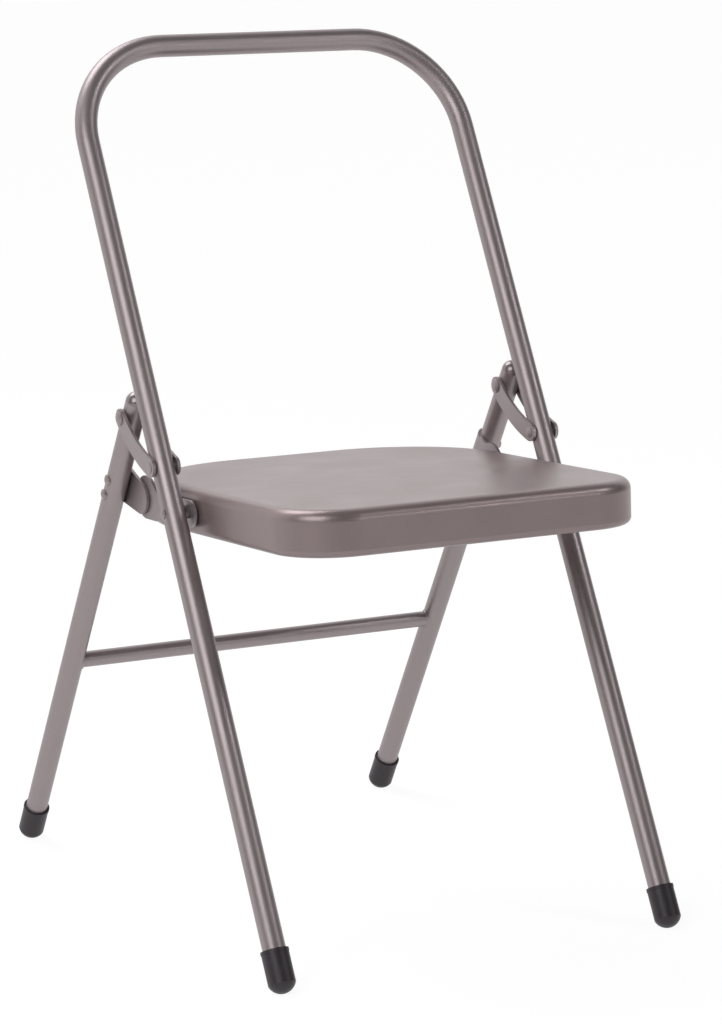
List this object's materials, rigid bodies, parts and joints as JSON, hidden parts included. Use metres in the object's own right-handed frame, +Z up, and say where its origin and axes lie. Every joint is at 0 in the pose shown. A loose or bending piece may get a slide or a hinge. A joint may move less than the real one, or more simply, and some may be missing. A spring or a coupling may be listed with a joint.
{
  "type": "folding backless yoga chair",
  "caption": "Folding steel chair for seated and supported yoga poses, its back an open tube hoop, in satin warm grey paint with dark rubber feet",
  "frame": {"origin": "On the floor, at the centre of the bounding box in plan, midway between the front and rear feet", "axes": "+Z up; the sitter faces -Y; +X is to the right as seen from the front, so left nodes are at -X"},
  "size_m": [0.4496, 0.6036, 0.837],
  "materials": {
    "frame_paint": "satin",
    "seat_paint": "satin",
    "gloss_plug": "gloss",
    "zinc_washer": "satin",
    "foot_rubber": "matte"
  },
  "bodies": {
    "front_frame": {"front_frame_tube": "frame_paint", "front_foot_cap_left": "foot_rubber", "front_foot_cap_right": "foot_rubber", "seat_pivot_rivet_left": "frame_paint", "seat_pivot_rivet_right": "frame_paint", "seat_pivot_washer_left": "zinc_washer", "seat_pivot_washer_right": "zinc_washer"},
    "seat": {"seat_pan": "seat_paint", "seat_stiffener": "seat_paint", "seat_bracket_left": "frame_paint", "seat_bracket_right": "frame_paint", "seat_bracket_rivets_left": "frame_paint", "seat_bracket_rivets_right": "frame_paint"},
    "link_left": {"link_outer_left": "frame_paint", "link_inner_left": "frame_paint", "link_frame_rivet_left": "frame_paint", "link_leg_rivet_left": "frame_paint"},
    "link_right": {"link_outer_right": "frame_paint", "link_inner_right": "frame_paint", "link_frame_rivet_right": "frame_paint", "link_leg_rivet_right": "frame_paint"},
    "rear_frame": {"rear_leg_left": "frame_paint", "rear_leg_right": "frame_paint", "rear_crossbar": "frame_paint", "rear_foot_cap_left": "foot_rubber", "rear_foot_cap_right": "foot_rubber", "leg_top_plug_left": "gloss_plug", "leg_top_plug_right": "gloss_plug", "leg_hinge_plate_left": "frame_paint", "leg_hinge_plate_right": "frame_paint", "hinge_plate_rivets_left": "frame_paint", "hinge_plate_rivets_right": "frame_paint", "hinge_pivot_rivet_left": "frame_paint", "hinge_pivot_rivet_right": "frame_paint", "hinge_washer_left": "zinc_washer", "hinge_washer_right": "zinc_washer"}
  },
  "joints": [
    {"name": "seat_fold", "type": "hinge", "parent": "front_frame", "child": "seat", "pos_m": [0, -0.07007, 0.40615], "axis": [-1, 0, 0], "range_deg": [0, 111.05]},
    {"name": "link_left_fold", "type": "hinge", "parent": "front_frame", "child": "link_left", "pos_m": [-0.2075, -0.04753, 0.44682], "axis": [-1, 0, 0], "range_deg": [0, 121.05]},
    {"name": "link_right_fold", "type": "hinge", "parent": "front_frame", "child": "link_right", "pos_m": [0.2075, -0.04753, 0.44682], "axis": [-1, 0, 0], "range_deg": [0, 121.1]},
    {"name": "rear_leg_fold", "type": "hinge", "parent": "link_left", "child": "rear_frame", "pos_m": [0, 0.01898, 0.48465], "axis": [1, 0, 0], "range_deg": [0, 66.5]}
  ],
  "couplings": [
    {"joint": "seat_fold", "follows": "link_left_fold", "ratio": 0.91698},
    {"joint": "link_right_fold", "follows": "link_left_fold", "ratio": 1},
    {"joint": "rear_leg_fold", "follows": "link_left_fold", "ratio": 0.54896}
  ]
}
